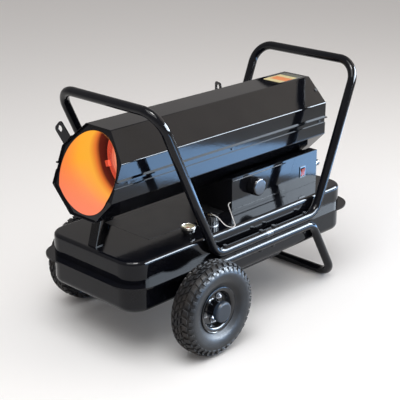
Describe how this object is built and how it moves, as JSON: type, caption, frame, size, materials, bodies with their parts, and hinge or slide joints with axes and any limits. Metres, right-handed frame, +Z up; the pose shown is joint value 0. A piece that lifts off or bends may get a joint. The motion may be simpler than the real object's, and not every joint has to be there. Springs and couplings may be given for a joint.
{
  "type": "portable forced-air heater",
  "caption": "Portable forced-air kerosene heater: octagonal barrel with open hot outlet over a stamped fuel tank, tube handles and two pneumatic wheels.",
  "frame": {"origin": "on the floor, at the middle of the object's box", "axes": "+Z up, -Y the way the hot outlet faces, +X the side with the knob and the switch"},
  "size_m": [0.58, 0.9106, 0.6647],
  "materials": {
    "black_enamel": "gloss",
    "tube_enamel": "gloss",
    "dark_steel": "satin",
    "zinc_steel": "satin",
    "hub_paint": "satin",
    "rim_paint": "gloss",
    "tyre_rubber": "matte",
    "hot_steel": "satin",
    "target_steel": "polished",
    "black_plastic": "satin",
    "red_plastic": "gloss",
    "nickel": "polished",
    "pale_card": "satin",
    "needle_red": "gloss",
    "tan_plastic": "satin",
    "float_nylon": "matte",
    "motor_paint": "satin",
    "cast_alloy": "satin",
    "carbon": "matte",
    "brass": "satin",
    "ceramic": "satin",
    "board_green": "satin",
    "coil_resin": "satin"
  },
  "bodies": {
    "root": {"tank_upper": "black_enamel", "tank_lower": "black_enamel", "control_box": "black_enamel", "side_panel": "black_enamel", "switch_plate": "black_enamel", "upper_shell": "black_enamel", "lower_shell": "black_enamel", "front_plate": "black_enamel", "lifting_lugs": "black_enamel", "barrel_supports": "black_enamel", "front_handle": "tube_enamel", "rear_handle": "tube_enamel", "support_frame": "tube_enamel", "foot_couplers": "dark_steel", "motor_bracket": "dark_steel", "rear_guard": "dark_steel", "flange_bolts": "dark_steel", "flange_nuts": "dark_steel", "cover_screws": "dark_steel", "axle": "zinc_steel", "axle_collars": "zinc_steel", "drain_plug": "zinc_steel", "filler_neck": "zinc_steel", "combustion_chamber": "hot_steel", "burner_head": "hot_steel", "flame_target": "target_steel", "gauge_stem": "black_plastic", "switch_frame": "black_plastic", "cord_gland": "black_plastic", "thermostat": "black_plastic", "gauge_bezel": "nickel", "gauge_dial": "pale_card", "cap_tether": "tan_plastic", "tether_eye": "tan_plastic", "motor": "motor_paint", "pump_body": "cast_alloy", "pump_cover": "cast_alloy", "fuel_nozzle": "brass", "fuel_line": "brass", "air_line": "brass", "igniter": "ceramic", "photocell": "ceramic", "control_board": "board_green", "ignition_transformer": "coil_resin"},
    "wheel_left": {"tyre_left": "tyre_rubber", "rim_left": "rim_paint", "bearings_left": "zinc_steel", "hub_cap_left": "hub_paint"},
    "wheel_right": {"tyre_right": "tyre_rubber", "rim_right": "rim_paint", "bearings_right": "zinc_steel", "hub_cap_right": "hub_paint"},
    "knob": {"thermostat_knob": "black_plastic"},
    "rocker": {"switch_rocker": "red_plastic"},
    "filler_cap": {"fuel_cap": "black_plastic"},
    "rotor": {"motor_shaft": "zinc_steel", "fan": "cast_alloy", "pump_rotor": "carbon"},
    "float": {"gauge_float": "float_nylon"},
    "needle": {"gauge_needle": "needle_red"}
  },
  "joints": [
    {"name": "wheel_left_spin", "type": "hinge", "parent": "root", "child": "wheel_left", "pos_m": [-0.246, -0.228, 0.127], "axis": [1, 0, 0], "continuous": true},
    {"name": "wheel_right_spin", "type": "hinge", "parent": "root", "child": "wheel_right", "pos_m": [0.246, -0.228, 0.127], "axis": [1, 0, 0], "continuous": true},
    {"name": "thermostat_turn", "type": "hinge", "parent": "root", "child": "knob", "pos_m": [0.116, 0.088, 0.344], "axis": [1, 0, 0], "range_deg": [-135, 135]},
    {"name": "switch_tilt", "type": "hinge", "parent": "root", "child": "rocker", "pos_m": [0.1, 0.31, 0.329], "axis": [0, 1, 0], "range_deg": [-16, 0]},
    {"name": "cap_turn", "type": "hinge", "parent": "root", "child": "filler_cap", "pos_m": [0.11, -0.095, 0.3], "axis": [0, 0, 1], "range_deg": [0, 120]},
    {"name": "rotor_spin", "type": "hinge", "parent": "root", "child": "rotor", "pos_m": [0, 0.25, 0.47825], "axis": [0, 1, 0], "continuous": true},
    {"name": "float_swing", "type": "hinge", "parent": "root", "child": "float", "pos_m": [0.127, -0.188, 0.215], "axis": [-1, 0, 0], "range_deg": [0, 55]},
    {"name": "needle_turn", "type": "hinge", "parent": "root", "child": "needle", "pos_m": [0.121, -0.188, 0.303], "axis": [0, 0, 1], "range_deg": [0, 110]}
  ],
  "couplings": [
    {"joint": "needle_turn", "follows": "float_swing", "ratio": 2}
  ]
}
